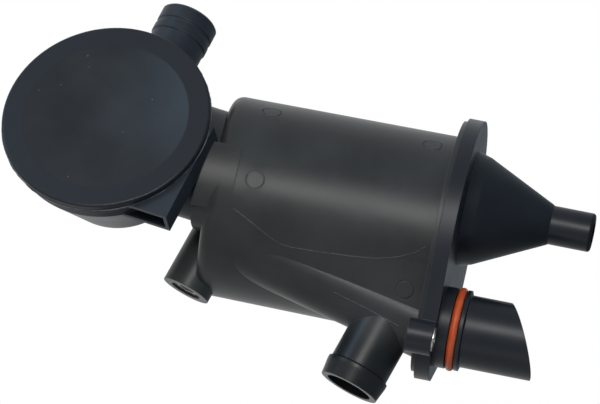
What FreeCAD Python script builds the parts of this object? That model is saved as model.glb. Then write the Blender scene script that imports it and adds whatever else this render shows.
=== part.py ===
import FreeCAD, Part
import math
import os

# Oil separator for a crankcase breather, in millimetres.
# +Z runs up the can's axis; the origin is on that axis, in the face that bolts to the engine.
# +X is the side of the drain funnel, -X the side of the spigot and the hose stub.

# Can
can_foot_radius = 41.2
can_top_radius = 40.3
can_top_height = 100.8
can_wall = 2.5
can_top_round = 4.5
lip_thickness = 1.8
lip_inset = 1.4
lip_lobe_inset = 2.6

# Cover plate
plate_radius = 49.2
plate_thickness = 6.2
lobe_radius = 22.3
lug_radius = 6.9
lug_height = 10.4
near_lug_x = -40.0
near_lug_y = -47.5
far_lug_x = 5.0
far_lug_y = 55.0
lug_gap = 0.5

# Bolt bushes
bush_outer_radius = 5.0
bush_bore_radius = 3.4
bush_proud = 0.4

# Drain funnel
funnel_x = 13.6
funnel_mouth_radius = 23.3
funnel_skirt_length = 5.2
funnel_shoulder_radius = 21.8
funnel_cone_length = 27.8
funnel_wall = 2.3
nozzle_radius = 7.85
nozzle_foot_step = 0.5
nozzle_foot_length = 0.8
nozzle_length = 17.8
nozzle_bore_radius = 5.0
nozzle_tip_round = 1.2

# Spigot
spigot_x = -34.5
spigot_y = -24.5
spigot_base_radius = 16.3
spigot_tube_radius = 14.6
spigot_bore_radius = 11.3
spigot_base_length = 10.6
spigot_mid_length = 32.5
spigot_cut_angle = 26.5
spigot_cut_turn = -30.0
o_ring_section = 3.3
o_ring_outer_radius = 16.9
o_ring_depth = 6.6
groove_width = 3.9
collar_width = 1.5

# Inlet duct, from the spigot up the side of the can
duct_radius = 14.0
duct_bore_radius = 11.0
duct_lean = 13.8
duct_lean_turn = 11.0
duct_mouth_height = 64.0
web_top_height = 86.0
web_can_angle = 20.0
web_flare_height = 35.0
web_flare_angle = 12.0
web_end_angle = 15.0
web_sink = 1.1
web_top_angle = 26.0
web_lap_angle = 8.4
web_tuck = 0.45
web_root_share = 0.8

# Hose stub on the duct and boss on the can's shoulder share one direction
stub_azimuth = 192.6
stub_elevation = 17.0
stub_height = 20.2
stub_reach = 36.2
stub_radius = 12.2
stub_bore_radius = 9.6
stub_barb_radius = 13.1
stub_barb_length = 8.3
stub_tip_radius = 12.3
stub_barb_step = 0.6
stub_barb_land = 2.0
boss_end_x = -40.3
boss_end_y = -10.0
boss_rise = 3.5
boss_radius = 10.0
boss_length = 24.0
boss_hole_depth = 11.0
insert_outer_radius = 6.3
insert_bore_radius = 3.4
insert_recess = 1.0
insert_foot_gap = 1.0

# Suction tube inside the can
suction_x = 4.0
suction_y = -9.0
suction_radius = 15.0
suction_bore_radius = 12.5
suction_mouth_height = 55.0

# Round ejector marks on the can: turn about the axis, height, and the turn that the wall faces
mark_radius = 3.9
mark_line = 0.45
mark_depth = 0.35
mark_spots = [(64.0, 83.3, 64.0), (60.6, 17.3, 60.6), (12.2, 82.7, 12.2), (-31.0, 15.7, -8.0)]

# Pressure valve: the middle of its front face and how it is turned
valve_x = 21.9
valve_y = -38.3
valve_rise = 45.6
valve_azimuth = -60.3
valve_elevation = 9.85
valve_spin = -12.8
cap_radius = 42.2
cap_rim_width = 8.6
cap_dish_depth = 2.6
cap_thickness = 2.0
cap_lip = 3.0
cap_edge_round = 0.9
cap_skirt_wall = 3.2
cap_skirt_length = 12.1

# Valve housing
housing_flange_radius = 41.0
housing_flange_depth = 7.0
housing_flange_bevel = 1.2
bowl_top_depth = 12.5
housing_wall = 2.6
bowl_top_radius = 39.4
bowl_floor_radius = 24.3
bowl_floor_depth = 46.0
bowl_floor_round = 3.5
register_gap = 0.2
seat_tube_radius = 12.2
seat_tube_bore = 9.6
seat_depth = 13.6
joint_reach = 42.1
joint_side = -6.8
joint_depth = 30.0
joint_half_width = 26.0
joint_half_height = 16.5
joint_wall = 3.0
port_side = -8.4
port_half_width = 24.4
neck_drop = 10.8

# Raised saddle on the can's wall under the valve's neck, fading out on its lower side
saddle_drop = 10.4
saddle_turn = 281.0
saddle_half_width = 13.3
saddle_corner = 3.0
saddle_root_radius = 33.0
saddle_shift_turn = 310.0
saddle_shift = 2.5
saddle_shrink = 1.8

# Hollow tab beside the valve's rim
tab_low_side = -12.0
tab_high_side = 33.0
tab_front_depth = 3.2
tab_back_depth = 13.6
tab_wall = 1.6

# Outlet stub on the valve housing
outlet_depth = 24.0
outlet_side = 2.5
outlet_reach = 65.4
outlet_radius = 11.3
outlet_bore_radius = 8.2
outlet_band_radius = 11.8
outlet_band_length = 6.6
outlet_groove_length = 2.0
outlet_bead_radius = 11.8
outlet_bead_length = 3.4
outlet_step = 0.5
outlet_tip_bevel = 0.8

# Diaphragm, its plate and the spring
bead_width = 3.0
bead_thickness = 1.8
bead_lead = 0.3
membrane_thickness = 0.9
membrane_depth = 6.6
membrane_flat_radius = 24.0
plate_disc_radius = 22.5
plate_disc_thickness = 1.6
plate_gap = 0.3
stud_radius = 3.0
stud_tip_depth = 5.3
retainer_radius = 8.0
retainer_thickness = 0.8
spring_radius = 7.2
spring_wire_radius = 0.6
spring_turns = 6
spring_turn_steps = 18
spring_floor_depth = 36.0
spring_gap = 0.1
plate_boss_radius = 5.6
plate_boss_length = 2.5

V = FreeCAD.Vector
UP = V(0, 0, 1)
ORIGIN = V(0, 0, 0)
far = 400.0

lip_top = plate_thickness + lip_thickness
neck_foot_height = can_top_height - neck_drop
spigot = V(spigot_x, spigot_y, 0)
near_lug = V(near_lug_x, near_lug_y, 0)
far_lug = V(far_lug_x, far_lug_y, 0)
funnel = V(funnel_x, 0, 0)


def direction(azimuth, elevation):
    """Unit vector at these angles in degrees, about +Z from +X and up from the XY plane."""
    a = math.radians(azimuth)
    b = math.radians(elevation)
    return V(math.cos(b) * math.cos(a), math.cos(b) * math.sin(a), math.sin(b))


def frame_at(place, z_axis, x_axis):
    """Placement whose z and x axes point these ways."""
    y_axis = z_axis.cross(x_axis)
    return FreeCAD.Placement(place, FreeCAD.Rotation(x_axis, y_axis, z_axis, "ZXY"))


def placed(shape, placement):
    """A copy of the shape moved by the placement."""
    copy = shape.copy()
    copy.Placement = placement.multiply(copy.Placement)
    return copy


def turned(points):
    """Solid of revolution about Z from (radius, height) points."""
    corners = [V(r, 0, z) for r, z in points]
    wire = Part.makePolygon(corners + [corners[0]])
    return Part.Face(wire).revolve(ORIGIN, UP, 360)


def disc(centre, radius, low, high):
    """Upright cylinder between two heights."""
    return Part.makeCylinder(radius, high - low, V(centre.x, centre.y, low), UP)


def link(centre_a, radius_a, centre_b, radius_b, low, high):
    """Upright prism whose outline wraps two circles with straight tangents."""
    span = centre_b - centre_a
    heading = math.atan2(span.y, span.x)
    spread = math.acos((radius_a - radius_b) / span.Length)
    corners = []
    for centre, radius, side in ((centre_a, radius_a, 1), (centre_b, radius_b, 1),
                                 (centre_b, radius_b, -1), (centre_a, radius_a, -1)):
        angle = heading + side * spread
        corners.append(V(centre.x + radius * math.cos(angle), centre.y + radius * math.sin(angle), low))
    web = Part.Face(Part.makePolygon(corners + [corners[0]])).extrude(V(0, 0, high - low))
    return web.fuse([disc(centre_a, radius_a, low, high), disc(centre_b, radius_b, low, high)])


def rounded(shape, radius, wanted):
    """The shape with the edges that the test picks out rounded."""
    return shape.makeFillet(radius, [edge for edge in shape.Edges if wanted(edge)])


def level_circle(height, radius):
    """Test for a full circle edge of this radius at this height about Z."""
    def test(edge):
        if not isinstance(edge.Curve, Part.Circle):
            return False
        near = abs(edge.Curve.Radius - radius) < 0.01
        return near and abs(edge.Curve.Center.z - height) < 0.01
    return test


def along_z(edge):
    """Test for a straight edge along Z."""
    return abs(edge.tangentAt(edge.FirstParameter).z) > 0.99


def oval_bar(half_width, half_height, start, end):
    """Bar along y with an oval section: half widths along x and z."""
    if half_width >= half_height:
        curve = Part.Ellipse(ORIGIN, half_width, half_height)
        turn = FreeCAD.Rotation(V(1, 0, 0), V(0, 0, 1), V(0, -1, 0), "XYZ")
    else:
        curve = Part.Ellipse(ORIGIN, half_height, half_width)
        turn = FreeCAD.Rotation(V(0, 0, 1), V(1, 0, 0), V(0, 1, 0), "XYZ")
    outline = Part.Wire(curve.toShape())
    outline.Placement = FreeCAD.Placement(V(0, start, 0), turn)
    return Part.Face(outline).extrude(V(0, end - start, 0))


def save(shape, name):
    """Write one piece as parts/NAME.step."""
    if len(shape.Solids) == 1:
        shape = shape.Solids[0]
    shape.exportStep("parts/" + name + ".step")
    print(name, shape.ShapeType, "valid", shape.isValid(), "volume", round(shape.Volume, 1))


# The duct's axis leaves the middle of the spigot at the top of the lip and leans over the can.
duct_foot = V(spigot_x, spigot_y, lip_top)
duct_axis = direction(duct_lean_turn, 90 - duct_lean)
stub_axis = direction(stub_azimuth, stub_elevation)

# The valve's own frame: z out of its front face, y towards the can, x along the tab.
valve_face = direction(valve_azimuth, valve_elevation)
valve_down = (valve_face * valve_face.z - UP).normalize()
valve_joint = FreeCAD.Rotation(valve_face, valve_spin).multVec(valve_down)
valve_middle = V(valve_x, valve_y, can_top_height + valve_rise)
valve_frame = frame_at(valve_middle, valve_face, valve_joint.cross(valve_face))


def can_radius_at(height):
    """Outside radius of the can's tapered wall."""
    share = (height - plate_thickness) / (can_top_height - plate_thickness)
    return can_foot_radius + (can_top_radius - can_foot_radius) * share


def duct_point(height):
    """Point on the duct's axis at this height."""
    return duct_foot + duct_axis * ((height - duct_foot.z) / duct_axis.z)


def can_web_section(height):
    """Section of the web between can and duct: from just inside the can's wall to inside the duct."""
    flare = max(0.0, (web_flare_height - height) / (web_flare_height - lip_top))
    rise = max(0.0, (height - web_flare_height) / (web_top_height - web_flare_height))
    edge_angle = web_can_angle - web_flare_angle * flare ** 2 + (web_top_angle - web_can_angle) * rise
    start_way = direction(270 - edge_angle + web_lap_angle, 0)
    end_way = direction(270 - web_end_angle, 0)
    level = V(0, 0, height)
    middle = duct_point(height)
    start = level + start_way * (can_radius_at(height) - web_tuck)
    end = middle + end_way * (duct_radius - web_sink)
    inner = level + start_way * (can_radius_at(height) * web_root_share)
    return Part.makePolygon([start, end, middle, inner, start])


def can_web():
    """Sloping web that fills the valley between the can and the duct and widens at the lip."""
    steps = 3
    sections = []
    for step in range(steps + 1):
        sections.append(can_web_section(lip_top + (web_flare_height - lip_top) * step / steps))
    sections.append(can_web_section(web_top_height))
    return Part.makeLoft(sections, True, True)


def saddle():
    """Strip of a narrower drum, off the axis so that one side stands proud of the can, up to the valve."""
    drum = disc(ORIGIN, can_top_radius - saddle_shrink, 0, 2 * can_top_height)
    drum.translate(direction(saddle_shift_turn, 0) * saddle_shift)
    outward = direction(saddle_turn, 0)
    corner = V(-saddle_half_width, 0, saddle_root_radius)
    outline = Part.makeBox(2 * saddle_half_width, can_top_height, far, corner)
    outline = rounded(outline, saddle_corner, along_z)
    foot = V(0, 0, can_top_height - saddle_drop)
    pad = drum.common(placed(outline, frame_at(foot, outward, UP.cross(outward))))
    can_side = Part.makeBox(far, far, far, V(-far / 2, joint_reach, -far / 2))
    return pad.common(placed(can_side, valve_frame))


def can_block():
    """Outside of the can's tapered drum, solid."""
    drum = Part.makeCone(can_foot_radius, can_top_radius, can_top_height - plate_thickness,
                         V(0, 0, plate_thickness), UP)
    return rounded(drum, can_top_round, level_circle(can_top_height, can_top_radius))


def separator_can():
    """Can, its lip, the duct with the hose stub, the neck for the valve and the boss."""
    lip_lobe = lobe_radius - lip_lobe_inset
    lip = link(ORIGIN, plate_radius - lip_inset, spigot, lip_lobe, plate_thickness, lip_top)
    lip = lip.cut(disc(near_lug, lug_radius + lug_gap, 0, lug_height))
    duct_length = (web_top_height - lip_top) / duct_axis.z
    duct_start = duct_foot - duct_axis * duct_radius
    duct = Part.makeCylinder(duct_radius, duct_length + 2 * duct_radius, duct_start, duct_axis)
    duct = duct.common(disc(ORIGIN, far, lip_top, web_top_height))
    neck_end = joint_reach + 2 * joint_half_width
    neck = placed(oval_bar(joint_half_width, joint_half_height, joint_reach, neck_end), neck_frame)
    neck = neck.common(disc(ORIGIN, far, neck_foot_height, far))
    outer_neck = neck.common(disc(ORIGIN, far, can_top_height - can_top_round, far))
    outside = can_block().fuse([lip, duct, can_web(), outer_neck, saddle()])

    inside_foot = can_foot_radius - can_wall
    inside_top = can_top_radius - can_wall
    ceiling = can_top_height - can_wall
    cavity = Part.makeCone(inside_foot, inside_top, ceiling - plate_thickness, V(0, 0, plate_thickness), UP)
    cavity = rounded(cavity, can_top_round - can_wall, level_circle(ceiling, inside_top))
    shell = outside.cut(cavity)

    inner_duct = duct.common(disc(ORIGIN, far, plate_thickness, duct_mouth_height))
    inner_neck = neck.common(disc(ORIGIN, can_top_radius - can_wall / 2, 0, far))
    suction = disc(V(suction_x, suction_y, 0), suction_radius, suction_mouth_height, ceiling + can_wall / 2)
    stub_root = duct_point(stub_height)
    stub_frame = frame_at(stub_root, stub_axis, stub_axis.cross(UP).normalize())
    stub = placed(hose_stub(), stub_frame)
    boss_end = V(boss_end_x, boss_end_y, can_top_height + boss_rise)
    boss = Part.makeCylinder(boss_radius, boss_length, boss_end, stub_axis * -1)
    shell = shell.fuse([inner_duct, inner_neck, suction, stub, boss])

    duct_bore = Part.makeCylinder(duct_bore_radius, duct_length + 2 * duct_radius, duct_start, duct_axis)
    duct_bore = duct_bore.common(disc(ORIGIN, far, plate_thickness, duct_mouth_height))
    stub_bore = Part.makeCylinder(stub_bore_radius, stub_reach + 1, stub_root, stub_axis)
    suction_bore = disc(V(suction_x, suction_y, 0), suction_bore_radius, suction_mouth_height - 1,
                        ceiling - can_wall / 2)
    neck_bore = placed(oval_bar(port_half_width - joint_wall, joint_half_height - joint_wall,
                                joint_reach - 1, neck_end), port_way)
    neck_bore = neck_bore.common(disc(ORIGIN, inside_top - can_wall, neck_foot_height + can_wall, far))
    boss_hole = Part.makeCylinder(insert_outer_radius, boss_hole_depth, boss_end, stub_axis * -1)
    shell = shell.cut(Part.makeCompound([duct_bore, stub_bore, suction_bore, neck_bore, boss_hole]))
    marks = [ejector_mark(shell, turn, height, facing) for turn, height, facing in mark_spots]
    return shell.cut(Part.makeCompound(marks))


def hose_stub():
    """Solid hose stub along z, with a barb whose shoulder faces the root."""
    shoulder = stub_reach - stub_barb_length
    return turned([(0, 0), (stub_radius, 0), (stub_radius, shoulder),
                   (stub_barb_radius, shoulder + stub_barb_step),
                   (stub_barb_radius, shoulder + stub_barb_land),
                   (stub_tip_radius, stub_reach), (0, stub_reach)])


def ejector_mark(shell, turn, height, facing):
    """Shallow ring to press into the outermost wall met at this turn and height."""
    outward = direction(turn - 90, 0)
    middle = V(0, 0, height)
    probe = shell.common(Part.makeLine(middle, middle + outward * far))
    reach = max(math.hypot(corner.X, corner.Y) for corner in probe.Vertexes)
    pull = direction(facing - 90, 0)
    start = middle + outward * reach - pull * mark_depth
    outer = Part.makeCylinder(mark_radius, 2 * can_wall, start, pull)
    return outer.cut(Part.makeCylinder(mark_radius - mark_line, 2 * can_wall, start, pull))


def funnel_cover():
    """Cover plate with its lugs, the drain funnel and the spigot, moulded as one."""
    plate = link(ORIGIN, plate_radius, spigot, lobe_radius, 0, plate_thickness)
    far_root = V(far_lug_x, plate_radius / 2, 0)
    lugs = [disc(near_lug, lug_radius, 0, lug_height)]
    lugs.append(link(far_root, 2 * lug_radius, far_lug, lug_radius, 0, plate_thickness))
    cone_foot = funnel_skirt_length + funnel_cone_length
    tip = cone_foot + nozzle_length
    shell = turned([(0, 0), (funnel_mouth_radius, 0), (funnel_shoulder_radius, -funnel_skirt_length),
                    (nozzle_radius + nozzle_foot_step, -cone_foot),
                    (nozzle_radius, -cone_foot - nozzle_foot_length),
                    (nozzle_radius, -tip), (0, -tip)])
    shell = rounded(shell, nozzle_tip_round, level_circle(-tip, nozzle_radius))
    shell.translate(funnel)
    cover = plate.fuse(lugs + [shell, spigot_tube()])

    hollow = turned([(0, plate_thickness), (funnel_mouth_radius - funnel_wall, plate_thickness),
                     (funnel_shoulder_radius - funnel_wall, -funnel_skirt_length),
                     (nozzle_bore_radius, -cone_foot), (nozzle_bore_radius, -tip), (0, -tip)])
    hollow.translate(funnel)
    spigot_bore = disc(spigot, spigot_bore_radius, -far, plate_thickness)
    near_hole = disc(near_lug, bush_outer_radius, 0, lug_height)
    far_hole = disc(far_lug, bush_outer_radius, 0, plate_thickness)
    return cover.cut(Part.makeCompound([hollow, spigot_bore, near_hole, far_hole]))


def spigot_tube():
    """Spigot with its O-ring groove, a collar and an end cut on a slant."""
    slant = math.tan(math.radians(spigot_cut_angle))
    longest = spigot_mid_length + spigot_tube_radius * slant + 1
    groove_floor = o_ring_outer_radius - o_ring_section
    groove_top = o_ring_depth - groove_width / 2
    groove_foot = o_ring_depth + groove_width / 2
    tube = turned([(0, 0), (spigot_base_radius, 0), (spigot_base_radius, -groove_top),
                   (groove_floor, -groove_top), (groove_floor, -groove_foot),
                   (spigot_base_radius, -groove_foot), (spigot_base_radius, -groove_foot - collar_width),
                   (spigot_tube_radius, -spigot_base_length), (spigot_tube_radius, -longest),
                   (0, -longest)])
    tube.translate(spigot)
    cutter = Part.makeBox(far, far, far, V(-far / 2, -far / 2, -far))
    cutter.rotate(ORIGIN, V(0, 1, 0), -spigot_cut_angle)
    cutter.rotate(ORIGIN, UP, -spigot_cut_turn)
    cutter.translate(spigot - V(0, 0, spigot_mid_length))
    return tube.cut(cutter)


def ring(outer, bore, low, high):
    """Plain ring about Z."""
    return disc(ORIGIN, outer, low, high).cut(disc(ORIGIN, bore, low, high))


def valve_cap():
    """Dished cap with a flat rim and the skirt that clamps the diaphragm."""
    dish_radius = cap_radius - cap_rim_width
    skirt_outer = bowl_top_radius - housing_wall - register_gap
    skirt_inner = skirt_outer - cap_skirt_wall
    cap = disc(ORIGIN, cap_radius, -cap_lip, 0)
    cap = rounded(cap, cap_edge_round, level_circle(0, cap_radius))
    cap = cap.fuse(disc(ORIGIN, skirt_inner, -cap_dish_depth - cap_thickness, -cap_lip))
    cap = cap.fuse(ring(skirt_outer, skirt_inner, -cap_skirt_length, -cap_lip))
    dish_ball = (dish_radius ** 2 + cap_dish_depth ** 2) / (2 * cap_dish_depth)
    dish = Part.makeSphere(dish_ball, V(0, 0, dish_ball - cap_dish_depth), V(1, 0, 0))
    return cap.cut(dish)


def valve_housing():
    """Conical bowl with its flange, joint face, tab, seat tube and outlet stub."""
    outer = turned([(0, -cap_lip), (housing_flange_radius, -cap_lip),
                    (housing_flange_radius, -housing_flange_depth),
                    (bowl_top_radius, -housing_flange_depth - housing_flange_bevel),
                    (bowl_top_radius, -bowl_top_depth), (bowl_floor_radius, -bowl_floor_depth),
                    (0, -bowl_floor_depth)])
    outer = rounded(outer, bowl_floor_round, level_circle(-bowl_floor_depth, bowl_floor_radius))
    joint = placed(oval_bar(port_half_width, joint_half_height, 0, joint_reach), port_frame)
    joint = joint.common(disc(ORIGIN, far, -bowl_floor_depth, -cap_lip))
    joint = joint.cut(placed(can_block(), valve_frame.inverse()))
    outer = outer.fuse([joint, tab()])

    ledge = cap_skirt_length + bead_thickness
    recess = bowl_top_radius - housing_wall
    floor = bowl_floor_depth - housing_wall
    slope = (bowl_top_radius - bowl_floor_radius) / (bowl_floor_depth - bowl_top_depth)
    top_inside = bowl_top_radius - slope * (ledge - bowl_top_depth) - housing_wall
    ledge_inside = min(top_inside, recess - cap_skirt_wall)
    floor_inside = bowl_floor_radius - housing_wall
    hollow = turned([(0, -cap_lip), (recess, -cap_lip), (recess, -ledge), (ledge_inside, -ledge),
                     (floor_inside, -floor), (0, -floor)])
    joint_bore = placed(oval_bar(port_half_width - joint_wall, joint_half_height - joint_wall,
                                 seat_tube_radius, joint_reach + 1), port_frame)
    joint_bore = joint_bore.common(disc(ORIGIN, far, -floor, -ledge))
    housing = outer.cut(hollow).cut(joint_bore)

    housing = housing.fuse(placed(outlet_stub(), outlet_frame))
    housing = housing.cut(disc(ORIGIN, recess, -ledge, -cap_lip))
    housing = housing.fuse(disc(ORIGIN, seat_tube_radius, -floor - housing_wall / 2, -seat_depth))
    seat_bore = disc(ORIGIN, seat_tube_bore, -spring_floor_depth, -seat_depth)
    outlet_bore = Part.makeCylinder(outlet_bore_radius, outlet_reach + 1, V(0, outlet_side, -outlet_depth),
                                    V(-1, 0, 0))
    return housing.cut(seat_bore).cut(outlet_bore)


def tab():
    """Hollow box beside the rim, open at one end."""
    length = tab_high_side - tab_low_side
    height = tab_back_depth - tab_front_depth
    box = Part.makeBox(length, joint_reach, height, V(tab_low_side, 0, -tab_back_depth))
    hollow = Part.makeBox(length, joint_reach - tab_wall, height - 2 * tab_wall,
                          V(tab_low_side + tab_wall, 0, -tab_back_depth + tab_wall))
    return box.cut(hollow)


def outlet_stub():
    """Solid outlet stub along z: neck, bead, groove and end band."""
    band = outlet_reach - outlet_band_length
    groove = band - outlet_groove_length
    bead = groove - outlet_bead_length
    return turned([(0, 0), (outlet_radius, 0), (outlet_radius, bead),
                   (outlet_bead_radius, bead + outlet_step), (outlet_bead_radius, groove),
                   (outlet_radius, groove + outlet_step), (outlet_radius, band),
                   (outlet_band_radius, band + outlet_step),
                   (outlet_band_radius, outlet_reach - outlet_tip_bevel),
                   (outlet_band_radius - outlet_tip_bevel, outlet_reach), (0, outlet_reach)])


def diaphragm():
    """Rubber diaphragm: clamped bead, sloping convolution and flat middle with a hole."""
    bead_outer = bowl_top_radius - housing_wall - register_gap
    bead_inner = bead_outer - bead_width
    foot = cap_skirt_length + bead_thickness
    flat = membrane_depth
    under = membrane_depth + membrane_thickness
    hole = stud_radius + plate_gap
    slope_foot = cap_skirt_length + bead_lead
    return turned([(hole, -flat), (membrane_flat_radius, -flat), (bead_inner, -slope_foot),
                   (bead_inner, -cap_skirt_length), (bead_outer, -cap_skirt_length), (bead_outer, -foot),
                   (bead_inner, -foot), (bead_inner, -slope_foot - membrane_thickness),
                   (membrane_flat_radius, -under), (hole, -under)])


def diaphragm_plate():
    """Support plate under the diaphragm, with a stud above and a spring boss below."""
    top = membrane_depth + membrane_thickness + plate_gap
    foot = top + plate_disc_thickness
    return turned([(0, -stud_tip_depth), (stud_radius, -stud_tip_depth), (stud_radius, -top),
                   (plate_disc_radius, -top), (plate_disc_radius, -foot), (plate_boss_radius, -foot),
                   (plate_boss_radius, -foot - plate_boss_length), (0, -foot - plate_boss_length)])


def plate_retainer():
    """Washer pressed on the stud above the diaphragm."""
    low = -membrane_depth + plate_gap
    return ring(retainer_radius, stud_radius, low, low + retainer_thickness)


def valve_spring():
    """Coil spring between the housing's floor and the diaphragm plate."""
    plate_foot = membrane_depth + membrane_thickness + plate_gap + plate_disc_thickness
    low = -spring_floor_depth + spring_wire_radius + spring_gap
    high = -plate_foot - spring_wire_radius - spring_gap
    steps = spring_turns * spring_turn_steps
    sections = []
    for step in range(steps + 1):
        turn = 360.0 * step / spring_turn_steps
        height = low + (high - low) * step / steps
        middle = direction(turn, 0) * spring_radius + V(0, 0, height)
        sections.append(Part.Wire(Part.makeCircle(spring_wire_radius, middle, direction(turn + 90, 0))))
    return Part.makeLoft(sections, True, True)


def spigot_o_ring():
    """O-ring in the spigot's groove."""
    centre_radius = o_ring_outer_radius - o_ring_section / 2
    return Part.makeTorus(centre_radius, o_ring_section / 2, spigot - V(0, 0, o_ring_depth), UP)


def bush(place, length):
    """Steel bush pressed into a lug, proud of the engine face."""
    sleeve = disc(place, bush_outer_radius, -bush_proud, length)
    return sleeve.cut(disc(place, bush_bore_radius, -bush_proud, length))


def boss_insert():
    """Steel sleeve pressed into the boss, just below its end face."""
    start = V(boss_end_x, boss_end_y, can_top_height + boss_rise) - stub_axis * insert_recess
    length = boss_hole_depth - insert_recess - insert_foot_gap
    sleeve = Part.makeCylinder(insert_outer_radius, length, start, stub_axis * -1)
    return sleeve.cut(Part.makeCylinder(insert_bore_radius, length, start, stub_axis * -1))


# Frames inside the valve: the joint bar runs along y, the outlet along -x.
neck_frame = valve_frame.multiply(FreeCAD.Placement(V(joint_side, 0, -joint_depth), FreeCAD.Rotation()))
port_frame = FreeCAD.Placement(V(port_side, 0, -joint_depth), FreeCAD.Rotation())
port_way = valve_frame.multiply(port_frame)
outlet_frame = frame_at(V(0, outlet_side, -outlet_depth), V(-1, 0, 0), V(0, 1, 0))

os.makedirs("parts", exist_ok=True)
save(separator_can(), "separator_can")
save(funnel_cover(), "funnel_cover")
save(spigot_o_ring(), "spigot_o_ring")
save(bush(near_lug, lug_height), "near_bolt_bush")
save(bush(far_lug, plate_thickness), "far_bolt_bush")
save(boss_insert(), "boss_insert")
save(placed(valve_housing(), valve_frame), "valve_housing")
save(placed(valve_cap(), valve_frame), "valve_cap")
save(placed(diaphragm(), valve_frame), "diaphragm")
save(placed(diaphragm_plate(), valve_frame), "diaphragm_plate")
save(placed(plate_retainer(), valve_frame), "plate_retainer")
save(placed(valve_spring(), valve_frame), "valve_spring")
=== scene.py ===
# %% [markdown]
# # An engine's oil separator
# The part cleans the gas that blows past an engine's pistons. Its body is black glass-filled nylon, moulded
# in four shells that are welded together, with an orange O-ring and a few steel bushes. The solids arrive
# ready made as the frame; this lesson gives them finishes, adds the small flaws that moulding and welding
# leave, and lights them. The frame's box is kept first.

# %% Load the frame
import math
import random

import bpy
from mathutils import Matrix, Vector


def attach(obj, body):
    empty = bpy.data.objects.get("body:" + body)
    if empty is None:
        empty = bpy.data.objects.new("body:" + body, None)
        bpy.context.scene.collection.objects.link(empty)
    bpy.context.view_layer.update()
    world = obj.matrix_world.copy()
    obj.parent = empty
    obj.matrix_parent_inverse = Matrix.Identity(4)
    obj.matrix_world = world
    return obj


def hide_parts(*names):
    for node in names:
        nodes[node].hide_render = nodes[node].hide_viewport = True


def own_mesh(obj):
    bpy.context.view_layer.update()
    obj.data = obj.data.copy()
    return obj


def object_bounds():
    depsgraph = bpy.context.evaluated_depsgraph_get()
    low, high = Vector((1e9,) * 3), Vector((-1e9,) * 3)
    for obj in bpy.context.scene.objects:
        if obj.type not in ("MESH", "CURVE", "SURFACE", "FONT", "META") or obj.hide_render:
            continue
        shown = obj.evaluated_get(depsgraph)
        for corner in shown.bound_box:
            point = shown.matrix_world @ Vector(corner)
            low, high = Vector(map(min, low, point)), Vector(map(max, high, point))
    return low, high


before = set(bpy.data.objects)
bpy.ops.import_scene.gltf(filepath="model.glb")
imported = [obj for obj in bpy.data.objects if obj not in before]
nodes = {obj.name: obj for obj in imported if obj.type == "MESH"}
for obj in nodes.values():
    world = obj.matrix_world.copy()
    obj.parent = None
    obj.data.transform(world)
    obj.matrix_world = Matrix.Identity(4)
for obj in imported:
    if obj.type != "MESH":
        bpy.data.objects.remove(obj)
cad_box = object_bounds()
MM = 0.001


def in_mm(box):
    """Corners of a box in millimetres, to print."""
    return [[round(c / MM, 1) for c in corner] for corner in box]


print("CAD nodes:", sorted(nodes))
print("CAD box in mm:", in_mm(cad_box))

# %% [markdown]
# ## Where the camera stands
# The photograph was taken square on, with the can's axis running across the picture and sloping down to the
# right. A camera can be turned with angles, but three unit vectors say the same thing more plainly: which
# way is right, which way is up, and which way is back towards the lens. A very long lens far away keeps
# parallel edges parallel, as in the photograph.

# %% Camera
PICTURE = (600, 404)
pixel_size = 0.4 * MM
right = Vector((0.1925, 0.0913, -0.977)).normalized()
back = Vector((0.0, -0.9957, -0.093)).normalized()
up = back.cross(right).normalized()
middle = Vector((3.2, -6.2, 66.3)) * MM

lens = 900.0
sensor = 36.0
lens_distance = PICTURE[0] * pixel_size * lens / sensor
camera_data = bpy.data.cameras.new("photo_camera")
camera_data.lens = lens
camera_data.sensor_width = sensor
camera_data.clip_end = 100.0
camera = bpy.data.objects.new("photo_camera", camera_data)
bpy.context.scene.collection.objects.link(camera)
turn = Matrix((right, up, back)).transposed()
camera.matrix_world = Matrix.Translation(middle + back * lens_distance) @ turn.to_4x4()
bpy.context.scene.camera = camera
print("camera stands", round(lens_distance, 2), "m from the part")

# %% [markdown]
# ## Soft lamps
# The photograph looks lit by a window high behind the camera, a little blue sky from the left, and light
# thrown back from a pale table. Three disc lamps stand for these. One sun lamp would be simpler, but its
# hard shadow would cut across the duct. Each lamp's place is given as the camera sees it, in metres right
# of, above and in front of the part's middle.

# %% Lamps
def spot(across, upward, towards):
    """Point right of, above and in front of the part's middle, as the camera sees it."""
    return middle + right * across + up * upward + back * towards


def soft_lamp(name, place, width, watts, tint):
    """Disc lamp that faces the part's middle."""
    lamp = bpy.data.lights.new(name, "AREA")
    lamp.color = tint
    lamp.shape = "DISK"
    lamp.size = width
    lamp.energy = watts
    holder = bpy.data.objects.new(name, lamp)
    holder.location = place
    holder.rotation_mode = "QUATERNION"
    holder.rotation_quaternion = (middle - place).to_track_quat("-Z", "Y")
    bpy.context.scene.collection.objects.link(holder)


soft_lamp("key_lamp", spot(0.0, 0.5, 1.2), width=0.4, watts=11.0, tint=(1, 0.98, 0.95))
soft_lamp("sky_lamp", spot(-0.8, 0.95, 0.4), width=0.35, watts=4.0, tint=(0.45, 0.72, 1))
soft_lamp("low_lamp", spot(0.1, -0.9, 0.8), width=0.7, watts=5.0, tint=(1, 1, 1))
print("lamps:", [light.name for light in bpy.data.lights])

# %% [markdown]
# ## A white room
# The background is plain white. A white world would do that alone, but it would also throw so much light
# that black nylon turned grey. So the world is white to the camera, to glass and to reflections, and gives
# only a part of that, a little blue, as light. A colour then renders about as it is written.

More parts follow.
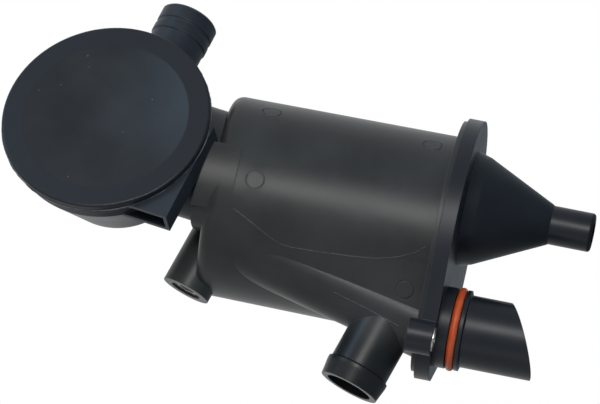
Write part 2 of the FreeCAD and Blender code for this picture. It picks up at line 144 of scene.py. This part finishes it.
# %% World
ambient_share = 0.35
world = bpy.data.worlds.new("white_room")
bpy.context.scene.world = world
world.use_nodes = True
sky = world.node_tree
sky.nodes.clear()
path = sky.nodes.new("ShaderNodeLightPath")
seen = sky.nodes.new("ShaderNodeMath")
seen.operation = "MAXIMUM"
seen_all = sky.nodes.new("ShaderNodeMath")
seen_all.operation = "MAXIMUM"
white = sky.nodes.new("ShaderNodeBackground")
white.inputs["Color"].default_value = (1, 1, 1, 1)
white.inputs["Strength"].default_value = 1.0
ambient = sky.nodes.new("ShaderNodeBackground")
ambient.inputs["Color"].default_value = (0.86, 0.93, 1, 1)
ambient.inputs["Strength"].default_value = ambient_share
choose = sky.nodes.new("ShaderNodeMixShader")
room = sky.nodes.new("ShaderNodeOutputWorld")
sky.links.new(path.outputs["Is Camera Ray"], seen.inputs[0])
sky.links.new(path.outputs["Is Transmission Ray"], seen.inputs[1])
sky.links.new(seen.outputs[0], seen_all.inputs[0])
sky.links.new(path.outputs["Is Glossy Ray"], seen_all.inputs[1])
sky.links.new(seen_all.outputs[0], choose.inputs["Fac"])
sky.links.new(ambient.outputs[0], choose.inputs[1])
sky.links.new(white.outputs[0], choose.inputs[2])
sky.links.new(choose.outputs[0], room.inputs["Surface"])
bpy.context.scene.view_settings.view_transform = "Standard"
print("room gives", ambient_share, "of white as light")

# %% [markdown]
# ## The pale floor
# The floor lies just under the drain nozzle and keeps the part's shadow. The photograph's camera stands a
# little lower than it, so the floor is clear when seen from below. Lamps strong enough to make it white
# would clip the part, so a lift that only the camera sees does that instead.

# %% Floor
floor_height = cad_box[0].z - 1 * MM
half = 3.0
camera_lift = 0.4
floor_mesh = bpy.data.meshes.new("pale_floor")
corners = [(x, y, floor_height) for x, y in ((-half, -half), (half, -half), (half, half), (-half, half))]
floor_mesh.from_pydata(corners, [], [(0, 1, 2, 3)])
floor = bpy.data.objects.new("pale_floor", floor_mesh)
bpy.context.scene.collection.objects.link(floor)
paper = bpy.data.materials.new("white_paper")
paper.use_nodes = True
tree = paper.node_tree
matt = tree.nodes["Principled BSDF"]
matt.inputs["Base Color"].default_value = (0.86, 0.86, 0.86, 1)
matt.inputs["Roughness"].default_value = 0.9
matt.inputs["Emission Color"].default_value = (1, 1, 1, 1)
look = tree.nodes.new("ShaderNodeLightPath")
lift = tree.nodes.new("ShaderNodeMath")
lift.operation = "MULTIPLY"
lift.inputs[1].default_value = camera_lift
tree.links.new(look.outputs["Is Camera Ray"], lift.inputs[0])
tree.links.new(lift.outputs[0], matt.inputs["Emission Strength"])
clear = tree.nodes.new("ShaderNodeBsdfTransparent")
under = tree.nodes.new("ShaderNodeNewGeometry")
one_way = tree.nodes.new("ShaderNodeMixShader")
tree.links.new(under.outputs["Backfacing"], one_way.inputs["Fac"])
tree.links.new(matt.outputs[0], one_way.inputs[1])
tree.links.new(clear.outputs[0], one_way.inputs[2])
tree.links.new(one_way.outputs[0], tree.nodes["Material Output"].inputs["Surface"])
floor_mesh.materials.append(paper)
print("floor lies at", round(floor_height / MM, 1), "mm")

# %% [markdown]
# ## Small tools for a finish
# Every finish below is built from the same few steps: a cloudy noise, two tones spread over it, a value
# faded from one limit to another, a tint mixed in by a share, and a fine relief. Image textures could show
# the same, but noise in the part's own coordinates needs no unwrapping and never repeats. Each step is a
# short function that adds its nodes to a material and returns the socket to go on from.

# %% Finish tools
def new_finish(name):
    """New material with its node tree and its shader."""
    made = bpy.data.materials.new(name)
    made.use_nodes = True
    return made, made.node_tree, made.node_tree.nodes["Principled BSDF"]


def own_place(tree):
    """Place on the part, in its own coordinates."""
    return tree.nodes.new("ShaderNodeTexCoord").outputs["Object"]


def clouds(tree, place, scale, detail):
    """Cloudy share from 0 to 1."""
    noise = tree.nodes.new("ShaderNodeTexNoise")
    noise.inputs["Scale"].default_value = scale
    noise.inputs["Detail"].default_value = detail
    tree.links.new(place, noise.inputs["Vector"])
    return noise.outputs["Fac"]


def two_tones(tree, share, dark, light, start=0.0, end=1.0):
    """Colour that goes from dark at one share to light at another."""
    ramp = tree.nodes.new("ShaderNodeValToRGB")
    ramp.color_ramp.elements[0].position = start
    ramp.color_ramp.elements[0].color = (*dark, 1)
    ramp.color_ramp.elements[1].position = end
    ramp.color_ramp.elements[1].color = (*light, 1)
    tree.links.new(share, ramp.inputs["Fac"])
    return ramp.outputs["Color"]


def spread(tree, share, low, high):
    """Number between low and high, by a share from 0 to 1."""
    slope = tree.nodes.new("ShaderNodeMapRange")
    slope.inputs["To Min"].default_value = low
    slope.inputs["To Max"].default_value = high
    tree.links.new(share, slope.inputs["Value"])
    return slope.outputs[0]


def fade(tree, value, zero_at, full_at, full=1.0):
    """0 where the value is at zero_at, full where it is at full_at, sloping between."""
    slope = tree.nodes.new("ShaderNodeMapRange")
    slope.inputs["From Min"].default_value = zero_at
    slope.inputs["From Max"].default_value = full_at
    slope.inputs["To Max"].default_value = full
    tree.links.new(value, slope.inputs["Value"])
    return slope.outputs[0]


def tinted(tree, share, plain, tint):
    """Plain colour with a tint mixed in by a share."""
    mix = tree.nodes.new("ShaderNodeMixRGB")
    mix.inputs["Color2"].default_value = (*tint, 1)
    tree.links.new(share, mix.inputs["Fac"])
    tree.links.new(plain, mix.inputs["Color1"])
    return mix.outputs["Color"]


def relief(tree, height, strength, depth):
    """Bump node that raises a fine relief."""
    bump = tree.nodes.new("ShaderNodeBump")
    bump.inputs["Strength"].default_value = strength
    bump.inputs["Distance"].default_value = depth
    tree.links.new(height, bump.inputs["Height"])
    return bump


def wear(node, finish):
    """Give one CAD node this finish in its only material slot."""
    item = nodes[node]
    if not item.material_slots:
        item.data.materials.append(finish)
    for slot in item.material_slots:
        slot.material = finish


print("finish tools ready")

# %% [markdown]
# ## Moulded nylon
# Glass-filled nylon leaves the mould with a satin skin. Seen closely it isn't one black: the resin flows in
# faint clouds, the tool prints a fine grain, and handled edges polish a little lighter. Rounding every edge
# in the mesh would change the solids. A Bevel node shades each sharp edge with the small radius that a real
# mould has, and the place where its normal leaves the true one is exactly where an edge wears.

# %% Nylon finish
mould_radius = 0.5 * MM
worn_edge = (0.085, 0.092, 0.1)


def nylon(name, dark, light, gloss, grain_depth):
    """Satin moulded nylon: cloudy tone, fine tool grain, soft edges that wear a little lighter."""
    made, tree, skin = new_finish(name)
    link = tree.links.new
    place = own_place(tree)
    flow = clouds(tree, place, scale=38.0, detail=5.0)
    grain = clouds(tree, place, scale=2200.0, detail=3.0)

    soft = tree.nodes.new("ShaderNodeBevel")
    soft.samples = 4
    soft.inputs["Radius"].default_value = mould_radius
    true = tree.nodes.new("ShaderNodeNewGeometry")
    agree = tree.nodes.new("ShaderNodeVectorMath")
    agree.operation = "DOT_PRODUCT"
    link(soft.outputs["Normal"], agree.inputs[0])
    link(true.outputs["Normal"], agree.inputs[1])
    worn = fade(tree, agree.outputs["Value"], zero_at=0.995, full_at=0.8, full=0.55)

    tone = two_tones(tree, flow, dark, light, start=0.35, end=0.72)
    raised = relief(tree, grain, strength=0.35, depth=grain_depth)
    link(soft.outputs["Normal"], raised.inputs["Normal"])
    link(tinted(tree, worn, tone, worn_edge), skin.inputs["Base Color"])
    link(spread(tree, flow, gloss - 0.07, gloss + 0.09), skin.inputs["Roughness"])
    link(raised.outputs["Normal"], skin.inputs["Normal"])
    skin.inputs["Specular IOR Level"].default_value = 0.2
    return made


can_nylon = nylon("can_nylon", (0.015, 0.0168, 0.0172), (0.029, 0.0315, 0.032), 0.36, 0.05 * MM)
cover_nylon = nylon("cover_nylon", (0.006, 0.0085, 0.0125), (0.011, 0.0145, 0.0195), 0.38, 0.04 * MM)
valve_nylon = nylon("valve_nylon", (0.009, 0.0125, 0.018), (0.018, 0.0235, 0.0315), 0.4, 0.05 * MM)
plate_nylon = nylon("plate_nylon", (0.42, 0.41, 0.37), (0.5, 0.49, 0.45), 0.5, 0.03 * MM)
wear("separator_can", can_nylon)
wear("funnel_cover", cover_nylon)
wear("valve_housing", valve_nylon)
wear("diaphragm_plate", plate_nylon)
print("nylon on the can, cover, valve housing and plate")

# %% [markdown]
# ## Rubber
# The O-ring is orange fluoro rubber: smooth, a little waxy, with dust dulling it in patches. One noise can
# drive the tone, the gloss and the relief together, so that the dull patches are also the paler and rougher
# ones, as real dust is. The diaphragm inside gets the same finish in black.

# %% Rubber finish
def rubber(name, dark, light, gloss):
    """Smooth rubber, dulled in patches by dust."""
    made, tree, skin = new_finish(name)
    link = tree.links.new
    dust = clouds(tree, own_place(tree), scale=260.0, detail=6.0)
    raised = relief(tree, dust, strength=0.2, depth=0.04 * MM)
    link(two_tones(tree, dust, dark, light, start=0.38, end=0.68), skin.inputs["Base Color"])
    link(spread(tree, dust, gloss - 0.08, gloss + 0.12), skin.inputs["Roughness"])
    link(raised.outputs["Normal"], skin.inputs["Normal"])
    skin.inputs["Specular IOR Level"].default_value = 0.4
    return made


orange_rubber = rubber("orange_rubber", (0.43, 0.058, 0.012), (0.53, 0.085, 0.02), 0.42)
black_rubber = rubber("diaphragm_rubber", (0.012, 0.012, 0.012), (0.022, 0.022, 0.022), 0.6)
wear("spigot_o_ring", orange_rubber)
print("rubber on the O-ring")

# %% [markdown]
# ## Plated steel
# The bushes are zinc-plated steel turned on a lathe, so their gloss is streaked round the axis. An
# anisotropic shader could bend the highlight, but at this size a noise squeezed along the axis gives the
# streaks, and the same noise varies the roughness. The spring's wire is drawn, and its noise isn't squeezed.

# %% Steel finish
def plated_steel(name, tint, squeeze):
    """Bright metal, streaked where the noise is squeezed."""
    made, tree, skin = new_finish(name)
    link = tree.links.new
    pull = tree.nodes.new("ShaderNodeMapping")
    pull.inputs["Scale"].default_value = squeeze
    link(own_place(tree), pull.inputs["Vector"])
    streak = clouds(tree, pull.outputs[0], scale=900.0, detail=4.0)
    dull_tint = [c * 0.72 for c in tint]
    raised = relief(tree, streak, strength=0.15, depth=0.02 * MM)
    link(two_tones(tree, streak, dull_tint, tint), skin.inputs["Base Color"])
    link(spread(tree, streak, 0.22, 0.42), skin.inputs["Roughness"])
    link(raised.outputs["Normal"], skin.inputs["Normal"])
    skin.inputs["Metallic"].default_value = 1.0
    return made


zinc = plated_steel("zinc_steel", (0.62, 0.61, 0.57), (1, 1, 6))
wire = plated_steel("spring_wire", (0.5, 0.5, 0.5), (1, 1, 1))
for bush in ("near_bolt_bush", "far_bolt_bush", "boss_insert", "plate_retainer"):
    wear(bush, zinc)
print("steel on the bushes and the washer")

# %% [markdown]
# ## The valve's own frame
# The valve sits askew on the can, so its pieces are drawn in its own coordinates: z out of the cap, y
# towards the can. One matrix carries them into place, which is easier to read than slanted numbers.

# %% Valve frame and a lathe
valve_x = Vector((-0.86582, -0.45022, 0.21828))
valve_y = Vector((-0.10979, -0.25467, -0.96077))
valve_z = Vector((0.48816, -0.85583, 0.17107))
valve_middle = Vector((21.9, -38.3, 146.4)) * MM
valve_turn = Matrix((valve_x, valve_y, valve_z)).transposed()
valve_frame = Matrix.Translation(valve_middle) @ valve_turn.to_4x4()


def valve_point(radius, angle, height):
    """Point at a radius and height in mm and an angle round the valve's axis."""
    return valve_frame @ (Vector((radius * math.cos(angle), radius * math.sin(angle), height)) * MM)


def ring_faces(steps, count):
    """Faces that join closed sections of count points, one section for each step round a ring."""
    faces = []
    for step in range(steps):
        here, there = step * count, (step + 1) % steps * count
        for index in range(count):
            following = (index + 1) % count
            faces.append((here + index, there + index, there + following, here + following))
    return faces


def add_piece(name, points, faces, finish, body):
    """Make a mesh piece from points in the row frame, smooth it and let it ride on a body."""
    mesh = bpy.data.meshes.new(name)
    mesh.from_pydata([tuple(p) for p in points], [], faces)
    mesh.update()
    mesh.polygons.foreach_set("use_smooth", [True] * len(mesh.polygons))
    mesh.materials.append(finish)
    piece = bpy.data.objects.new(name, mesh)
    bpy.context.scene.collection.objects.link(piece)
    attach(piece, body)
    print(name, "has", len(mesh.polygons), "faces")
    return piece


print("valve stands at", [round(c / MM, 1) for c in valve_middle], "mm")

# %% [markdown]
# ## The cap's dish and its painted rim shade
# The cap's dish is greyer and grainy, as a spark-eroded mould leaves it, and dust clings to it. The
# flat rim round it is painted darker: painted shade, standing for the reflections that light the hollow
# dish and miss the flat rim. A second material slot would need the mesh cut along that circle, which
# would change the CAD mesh. So one material holds both: the distance from the valve's axis, worked out
# from object coordinates, fades from the dish's colour to the rim's painted shade.

# %% Cap finish
def from_point(tree, point):
    """Way from a point of the part to the place being shaded."""
    way = tree.nodes.new("ShaderNodeVectorMath")
    way.operation = "SUBTRACT"
    way.inputs[1].default_value = point
    tree.links.new(own_place(tree), way.inputs[0])
    return way.outputs[0]


def beyond_axis(tree, point, axis, radius, soft):
    """0 within a radius of the axis through a point, 1 outside it."""
    off_axis = tree.nodes.new("ShaderNodeVectorMath")
    off_axis.operation = "CROSS_PRODUCT"
    off_axis.inputs[1].default_value = axis
    tree.links.new(from_point(tree, point), off_axis.inputs[0])
    distance = tree.nodes.new("ShaderNodeVectorMath")
    distance.operation = "LENGTH"
    tree.links.new(off_axis.outputs[0], distance.inputs[0])
    return fade(tree, distance.outputs["Value"], radius - soft, radius + soft)


dish_radius = 33.4 * MM
dust_tint = (0.16, 0.165, 0.17)
# Painted shade: the rim's colour is darker than the dish's, standing for the reflections the hollow dish
# catches.
rim_painted_shade_tint = (0.008, 0.0105, 0.0145)
cap_nylon = nylon("cap_nylon", (0.006, 0.0075, 0.01), (0.016, 0.019, 0.023), 0.34, 0.08 * MM)
tree = cap_nylon.node_tree
cap_colour = tree.nodes["Principled BSDF"].inputs["Base Color"]
motes = tree.nodes.new("ShaderNodeTexVoronoi")
motes.inputs["Scale"].default_value = 160.0
tree.links.new(own_place(tree), motes.inputs["Vector"])
mote = tree.nodes.new("ShaderNodeMath")
mote.operation = "LESS_THAN"
mote.inputs[1].default_value = 0.035
tree.links.new(motes.outputs["Distance"], mote.inputs[0])
dusty = tinted(tree, mote.outputs[0], cap_colour.links[0].from_socket, dust_tint)
painted_rim_shade = beyond_axis(tree, valve_middle, valve_z, dish_radius, 0.4 * MM)
tree.links.new(tinted(tree, painted_rim_shade, dusty, rim_painted_shade_tint), cap_colour)
wear("valve_cap", cap_nylon)
# The rim beyond this radius carries painted shade.
print("dish matt to", round(dish_radius / MM, 1), "mm from the axis, rim smooth")

# %% [markdown]
# ## Painted shade on the hose stub
# The stub's colour is darker than the rest of the can: painted shade on the stub. Painting that
# by hand would need an image. The same distance from an axis does it here, stopped short of the duct by a
# second fade along the stub.

# %% Painted shade on the stub
stub_middle = Vector((-58.8, -30.0, 28.7)) * MM
stub_axis = Vector((-0.93327, -0.20861, 0.29237))
stub_shade_radius = 13.8 * MM
stub_shade_start = -13.0 * MM
stub_shade_fade = 5.0 * MM
# Painted shade: this tint darkens the hose stub's colour.
stub_shade_tint = (0.0085, 0.01, 0.011)
tree = can_nylon.node_tree
can_colour = tree.nodes["Principled BSDF"].inputs["Base Color"]
along = tree.nodes.new("ShaderNodeVectorMath")
along.operation = "DOT_PRODUCT"
along.inputs[1].default_value = stub_axis
tree.links.new(from_point(tree, stub_middle), along.inputs[0])
outward = fade(tree, along.outputs["Value"], stub_shade_start - stub_shade_fade, stub_shade_start + stub_shade_fade)
outside_stub_shade = beyond_axis(tree, stub_middle, stub_axis, stub_shade_radius, 0.4 * MM)
stub_shaded = tree.nodes.new("ShaderNodeMath")
stub_shaded.operation = "SUBTRACT"
stub_shaded.use_clamp = True
tree.links.new(outward, stub_shaded.inputs[0])
tree.links.new(outside_stub_shade, stub_shaded.inputs[1])
tree.links.new(tinted(tree, stub_shaded.outputs[0], can_colour.links[0].from_socket, stub_shade_tint), can_colour)
# Painted shade darkens the stub within this radius of its axis.
print("oil darkens the stub within", round(stub_shade_radius / MM, 1), "mm of its axis")

# %% [markdown]
# ## The rubber diaphragm
# Inside the valve a thin rubber disc, clamped at its bead, carries a plate. When the plate moves the rubber
# rolls, which no rigid body can do. A cloth simulation would be slow and could differ from run to run. A
# turned profile stands for the solid.

# %% Diaphragm
bead = [(36.6, -12.1), (36.6, -13.9), (33.6, -13.9), (33.6, -13.3)]
roll_under = [(32.0, -12.6), (30.0, -11.2), (28.0, -9.6), (26.0, -8.2), (24.0, -7.5)]
flat = [(3.3, -7.5), (3.3, -6.6)]
roll_over = [(24.0, -6.6), (26.0, -7.3), (28.0, -8.7), (30.0, -10.3), (32.0, -11.7),
             (33.6, -12.4), (33.6, -12.1)]
profile = bead + roll_under + flat + roll_over
disc_steps = 96
points = []
for step in range(disc_steps):
    angle = 2 * math.pi * step / disc_steps
    points += [valve_point(radius, angle, height) for radius, height in profile]
faces = ring_faces(disc_steps, len(profile))
rubber_disc = add_piece("rubber_diaphragm", points, faces, black_rubber, "separator_body")
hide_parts("diaphragm")
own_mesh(rubber_disc)

# %% [markdown]
# ## The coil spring
# A coil spring holds the plate off its seat and shortens as the plate comes down. A curve with a bevel
# would draw it in a few lines. Here the wire's own rings of points are laid along the helix, so that the
# piece is a plain mesh.

# %% Spring
coil_radius, wire_radius, turns = 7.2, 0.6, 6
around = 10
low, high = -35.3, -10.1
coil_steps = turns * 28
points, faces = [], []
for step in range(coil_steps + 1):
    share = step / coil_steps
    angle = 2 * math.pi * turns * share
    out = Vector((math.cos(angle), math.sin(angle), 0))
    heart = out * coil_radius + Vector((0, 0, low + (high - low) * share))
    for k in range(around):
        lean = 2 * math.pi * k / around
        rim = heart + out * wire_radius * math.cos(lean) + Vector((0, 0, wire_radius * math.sin(lean)))
        points.append(valve_frame @ (rim * MM))
for step in range(coil_steps):
    for k in range(around):
        a, b = step * around + k, step * around + (k + 1) % around
        faces.append((a, b, b + around, a + around))
faces.append(tuple(range(around)))
faces.append(tuple(reversed(range(coil_steps * around, (coil_steps + 1) * around))))
coil = add_piece("coil_spring", points, faces, wire, "separator_body")
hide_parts("valve_spring")
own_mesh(coil)

# %% [markdown]
# ## Weld flash round the cap
# The cap is welded to its bowl, and the melted nylon squeezes out as a ragged pale bead along the rim's
# lower edge. A torus would be far too neat, so each step round the ring gets its own small width and height
# from a seeded random walk.

# %% Weld flash
chance = random.Random(11)
flash_steps = 360
rim_radius, rim_foot = 42.0, -2.75
thinnest, thickest, stray = 0.08, 0.6, 0.15
waver = 0.2
thick = 0.3
points = []
for step in range(flash_steps):
    angle = 2 * math.pi * step / flash_steps
    thick = min(thickest, max(thinnest, thick + chance.uniform(-stray, stray)))
    drop = rim_foot - chance.uniform(0.0, waver)
    bulge = rim_radius + thick * 0.7
    section = [(rim_radius, drop), (bulge + 0.2, drop - 0.1),
               (bulge, drop - 0.3 - thick), (rim_radius - 0.8, drop - 0.5 - thick)]
    points += [valve_point(radius, angle, height) for radius, height in section]
faces = ring_faces(flash_steps, len(section))
# The weld flash's own pale colour; on the parting lines below it is a painted highlight.
flash_and_highlight_nylon = nylon("flash_and_highlight_nylon", (0.05, 0.05, 0.052), (0.16, 0.16, 0.162), 0.5, 0.05 * MM)
add_piece("cap_weld_flash", points, faces, flash_and_highlight_nylon, "separator_body")

# %% [markdown]
# ## Parting lines
# Where two halves of the mould meet, a hair of nylon is left standing: a ragged line runs down the
# can beside the duct and on along the web's upper edge, and a fine one along the duct. Their pale colour is
# a painted highlight along the edges they follow. Drawn in the material it would have no height. So each is
# laid on the solid itself: a ray from the camera finds the surface under a few points of the line, and a
# low ridge is raised along the hits, so that it sits on the wall seen from any side.

# %% Parting lines
ray_spacing = 0.8
ridge_sink = 0.1 * MM


def on_wall(node, across, down):
    """Where the ray through this point of the picture meets the node: the place and the way it faces."""
    aside = right * ((across - PICTURE[0] / 2) * pixel_size)
    above = up * ((PICTURE[1] / 2 - down) * pixel_size)
    start = camera.matrix_world.translation
    hit, place, facing, _ = nodes[node].ray_cast(start, (middle + aside + above - start).normalized())
    return (place, facing) if hit else None


def parting_ridge_with_highlight(name, node, route, half_width, height, seed):
    """Ragged ridge along a route of picture points, each laid on the node's wall."""
    chance = random.Random(seed)
    hits = []
    for (x0, y0), (x1, y1) in zip(route, route[1:]):
        count = max(2, int(math.hypot(x1 - x0, y1 - y0) / ray_spacing))
        for step in range(count):
            share = step / count
            found = on_wall(node, x0 + (x1 - x0) * share, y0 + (y1 - y0) * share)
            if found:
                hits.append(found)
    points, faces = [], []
    for index, (place, facing) in enumerate(hits):
        ahead = hits[min(index + 1, len(hits) - 1)][0] - hits[max(index - 1, 0)][0]
        side = ahead.cross(facing).normalized()
        wide = half_width * chance.uniform(0.5, 1.3)
        tall = height * chance.uniform(0.3, 1.2)
        foot = place - facing * ridge_sink
        points += [foot + side * wide, place + facing * tall, foot - side * wide]
    for index in range(len(hits) - 1):
        a = index * 3
        faces += [(a, a + 1, a + 4, a + 3), (a + 1, a + 2, a + 5, a + 4), (a + 2, a, a + 3, a + 5)]
    # Pale flash nylon: a painted highlight along the ridge.
    return add_piece(name, points, faces, flash_and_highlight_nylon, "separator_body")


can_route = [(233, 208), (246, 218), (262, 231), (278, 243)]
web_route = [(278, 243), (291, 247), (322, 252), (352, 256), (375, 258), (398, 256.5), (414, 252.5),
             (427, 245.5)]
duct_route = [(334, 292), (366, 308), (399, 326)]
parting_ridge_with_highlight("can_parting_line_highlight", "separator_can", can_route, 0.3 * MM, 0.25 * MM, seed=3)
parting_ridge_with_highlight("web_edge_highlight_line", "separator_can", web_route, 0.3 * MM, 0.22 * MM, seed=4)
parting_ridge_with_highlight("duct_parting_line_highlight", "separator_can", duct_route, 0.25 * MM, 0.2 * MM, seed=5)
